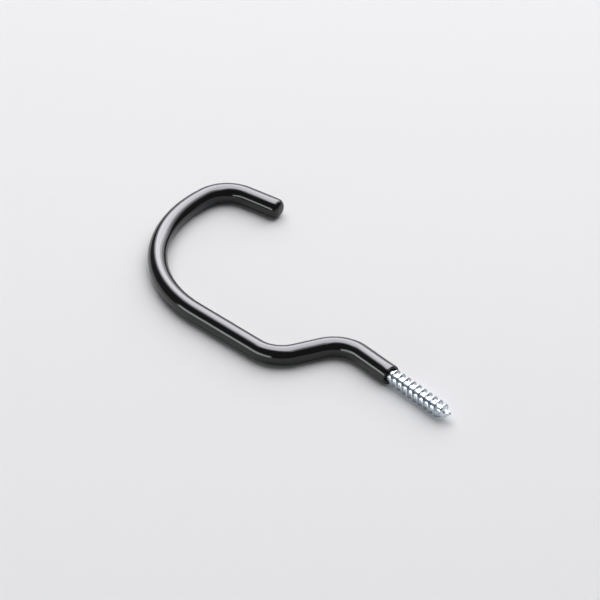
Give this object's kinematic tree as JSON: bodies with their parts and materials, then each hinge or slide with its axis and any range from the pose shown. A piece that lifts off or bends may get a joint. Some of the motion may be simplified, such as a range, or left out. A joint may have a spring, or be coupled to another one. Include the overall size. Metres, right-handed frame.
{
  "type": "bicycle storage hook",
  "caption": "Bent steel wire hook in a glossy vinyl sleeve with a wood-screw end, for hanging a bicycle by its wheel from a joist or stud.",
  "frame": {"origin": "on the screw's axis, at the sleeve's open end", "axes": "+X along the screw towards its point, +Z normal to the plane of the bends, with the hook lying flat on its side"},
  "size_m": [0.2033, 0.09, 0.0094],
  "materials": {
    "zinc_steel": "bright zinc plate",
    "black_vinyl": "gloss"
  },
  "bodies": {
    "root": {"steel_hook": "zinc_steel", "vinyl_sleeve": "black_vinyl"}
  },
  "joints": []
}
